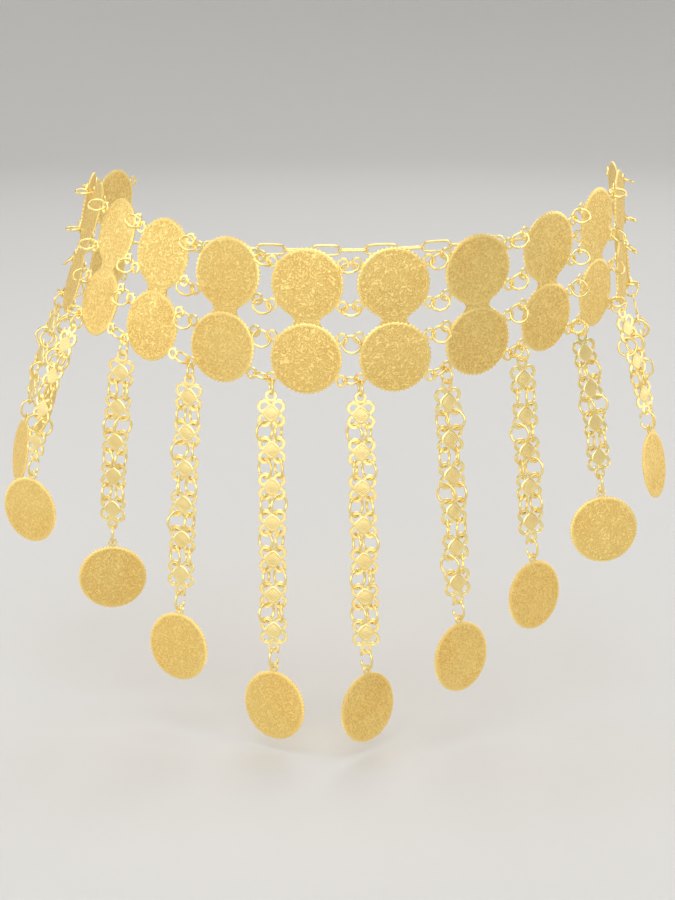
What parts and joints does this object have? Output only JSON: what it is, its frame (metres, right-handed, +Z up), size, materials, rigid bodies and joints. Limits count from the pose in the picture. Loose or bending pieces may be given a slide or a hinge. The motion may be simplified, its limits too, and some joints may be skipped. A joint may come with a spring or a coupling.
{
  "type": "waist chain",
  "caption": "Belt of linked double coin plates worn round the waist, with hanging chains of lobed links that each end in a coin, closed by a hook and chain behind.",
  "frame": {"origin": "middle of the waist opening that the chain goes round, at the height of the plates' middles on the two sides", "axes": "+Z up, -Y to the front of the wearer, +X to the right as seen from the front"},
  "size_m": [0.3602, 0.2749, 0.2691],
  "materials": {
    "plate_gold": "stamped, matt gold plated",
    "link_gold": "stamped, satin gold plated",
    "pendant_gold": "stamped, matt gold plated",
    "chain_gold": "bright drawn wire, gold plated"
  },
  "bodies": {
    "belt": {"plate_01": "plate_gold", "plate_02": "plate_gold", "plate_03": "plate_gold", "plate_04": "plate_gold", "plate_05": "plate_gold", "plate_06": "plate_gold", "plate_07": "plate_gold", "plate_08": "plate_gold", "plate_09": "plate_gold", "plate_10": "plate_gold", "plate_11": "plate_gold", "plate_12": "plate_gold", "plate_13": "plate_gold", "closure_chain_right": "chain_gold", "closure_chain_left": "chain_gold", "closure_hook": "chain_gold"},
    "strand_01": {"strand_01": "link_gold"},
    "pendant_01": {"pendant_01": "pendant_gold"},
    "strand_02": {"strand_02": "link_gold"},
    "pendant_02": {"pendant_02": "pendant_gold"},
    "strand_03": {"strand_03": "link_gold"},
    "pendant_03": {"pendant_03": "pendant_gold"},
    "strand_04": {"strand_04": "link_gold"},
    "pendant_04": {"pendant_04": "pendant_gold"},
    "strand_05": {"strand_05": "link_gold"},
    "pendant_05": {"pendant_05": "pendant_gold"},
    "strand_06": {"strand_06": "link_gold"},
    "pendant_06": {"pendant_06": "pendant_gold"},
    "strand_07": {"strand_07": "link_gold"},
    "pendant_07": {"pendant_07": "pendant_gold"},
    "strand_08": {"strand_08": "link_gold"},
    "pendant_08": {"pendant_08": "pendant_gold"},
    "strand_09": {"strand_09": "link_gold"},
    "pendant_09": {"pendant_09": "pendant_gold"},
    "strand_10": {"strand_10": "link_gold"},
    "pendant_10": {"pendant_10": "pendant_gold"},
    "strand_11": {"strand_11": "link_gold"},
    "pendant_11": {"pendant_11": "pendant_gold"},
    "strand_12": {"strand_12": "link_gold"},
    "pendant_12": {"pendant_12": "pendant_gold"}
  },
  "joints": [
    {"name": "strand_01_swing", "type": "hinge", "parent": "belt", "child": "strand_01", "pos_m": [-0.15324, 0.01721, -0.03335], "axis": [0.0059, 1, 0], "range_deg": [0, 60]},
    {"name": "pendant_01_swing", "type": "hinge", "parent": "strand_01", "child": "pendant_01", "pos_m": [-0.16807, 0.0173, -0.07901], "axis": [0.0988, 0.9948, -0.0232], "range_deg": [0, 60]},
    {"name": "strand_02_swing", "type": "hinge", "parent": "belt", "child": "strand_02", "pos_m": [-0.15496, -0.02613, -0.03187], "axis": [-0.2709, 0.9609, 0.0573], "range_deg": [0, 60]},
    {"name": "pendant_02_swing", "type": "hinge", "parent": "strand_02", "child": "pendant_02", "pos_m": [-0.1762, -0.02816, -0.09428], "axis": [-0.3573, 0.9303, 0.0833], "range_deg": [0, 60]},
    {"name": "strand_03_swing", "type": "hinge", "parent": "belt", "child": "strand_03", "pos_m": [-0.1404, -0.0665, -0.03536], "axis": [-0.5344, 0.8387, 0.1046], "range_deg": [0, 60]},
    {"name": "pendant_03_swing", "type": "hinge", "parent": "strand_03", "child": "pendant_03", "pos_m": [-0.1665, -0.07172, -0.11444], "axis": [-0.8551, 0.4949, 0.1549], "range_deg": [0, 60]},
    {"name": "strand_04_swing", "type": "hinge", "parent": "belt", "child": "strand_04", "pos_m": [-0.11314, -0.09803, -0.04194], "axis": [-0.7629, 0.6408, 0.0859], "range_deg": [0, 60]},
    {"name": "pendant_04_swing", "type": "hinge", "parent": "strand_04", "child": "pendant_04", "pos_m": [-0.12282, -0.09581, -0.14355], "axis": [-0.9893, -0.142, 0.0332], "range_deg": [0, 60]},
    {"name": "strand_05_swing", "type": "hinge", "parent": "belt", "child": "strand_05", "pos_m": [-0.07838, -0.12057, -0.04861], "axis": [-0.9019, 0.4306, 0.0346], "range_deg": [0, 60]},
    {"name": "pendant_05_swing", "type": "hinge", "parent": "strand_05", "child": "pendant_05", "pos_m": [-0.08575, -0.12635, -0.16848], "axis": [-0.8734, 0.4861, 0.0314], "range_deg": [0, 60]},
    {"name": "strand_06_swing", "type": "hinge", "parent": "belt", "child": "strand_06", "pos_m": [-0.03846, -0.13487, -0.05295], "axis": [-0.9883, 0.1518, -0.0173], "range_deg": [0, 60]},
    {"name": "pendant_06_swing", "type": "hinge", "parent": "strand_06", "child": "pendant_06", "pos_m": [-0.03794, -0.14714, -0.1907], "axis": [-0.8668, 0.4963, -0.0476], "range_deg": [0, 60]},
    {"name": "strand_07_swing", "type": "hinge", "parent": "belt", "child": "strand_07", "pos_m": [0.00427, -0.13758, -0.05309], "axis": [-0.9953, -0.095, -0.0173], "range_deg": [0, 60]},
    {"name": "pendant_07_swing", "type": "hinge", "parent": "strand_07", "child": "pendant_07", "pos_m": [0.00779, -0.14935, -0.19084], "axis": [-0.7447, -0.6664, 0.0379], "range_deg": [0, 60]},
    {"name": "strand_08_swing", "type": "hinge", "parent": "belt", "child": "strand_08", "pos_m": [0.04573, -0.12991, -0.0486], "axis": [-0.9081, -0.4179, -0.0259], "range_deg": [0, 60]},
    {"name": "pendant_08_swing", "type": "hinge", "parent": "strand_08", "child": "pendant_08", "pos_m": [0.05337, -0.13909, -0.16825], "axis": [-0.7769, -0.6296, -0.0035], "range_deg": [0, 60]},
    {"name": "strand_09_swing", "type": "hinge", "parent": "belt", "child": "strand_09", "pos_m": [0.08323, -0.11266, -0.04135], "axis": [-0.7586, -0.6513, -0.0173], "range_deg": [0, 60]},
    {"name": "pendant_09_swing", "type": "hinge", "parent": "strand_09", "child": "pendant_09", "pos_m": [0.09095, -0.11895, -0.14306], "axis": [-0.7867, -0.617, -0.0212], "range_deg": [0, 60]},
    {"name": "strand_10_swing", "type": "hinge", "parent": "belt", "child": "strand_10", "pos_m": [0.11466, -0.08732, -0.03394], "axis": [-0.5609, -0.8275, -0.0246], "range_deg": [0, 60]},
    {"name": "pendant_10_swing", "type": "hinge", "parent": "strand_10", "child": "pendant_10", "pos_m": [0.12792, -0.09379, -0.11671], "axis": [-0.9911, -0.0913, -0.0971], "range_deg": [0, 60]},
    {"name": "strand_11_swing", "type": "hinge", "parent": "belt", "child": "strand_11", "pos_m": [0.13864, -0.05447, -0.02868], "axis": [-0.2893, -0.9572, 0], "range_deg": [0, 60]},
    {"name": "pendant_11_swing", "type": "hinge", "parent": "strand_11", "child": "pendant_11", "pos_m": [0.15659, -0.0599, -0.09196], "axis": [-0.463, -0.8856, -0.0364], "range_deg": [0, 60]},
    {"name": "strand_12_swing", "type": "hinge", "parent": "belt", "child": "strand_12", "pos_m": [0.15188, -0.014, -0.02752], "axis": [0.0405, -0.9992, 0], "range_deg": [0, 60]},
    {"name": "pendant_12_swing", "type": "hinge", "parent": "strand_12", "child": "pendant_12", "pos_m": [0.16267, -0.01357, -0.07431], "axis": [-0.1338, -0.9905, -0.0306], "range_deg": [0, 60]}
  ]
}
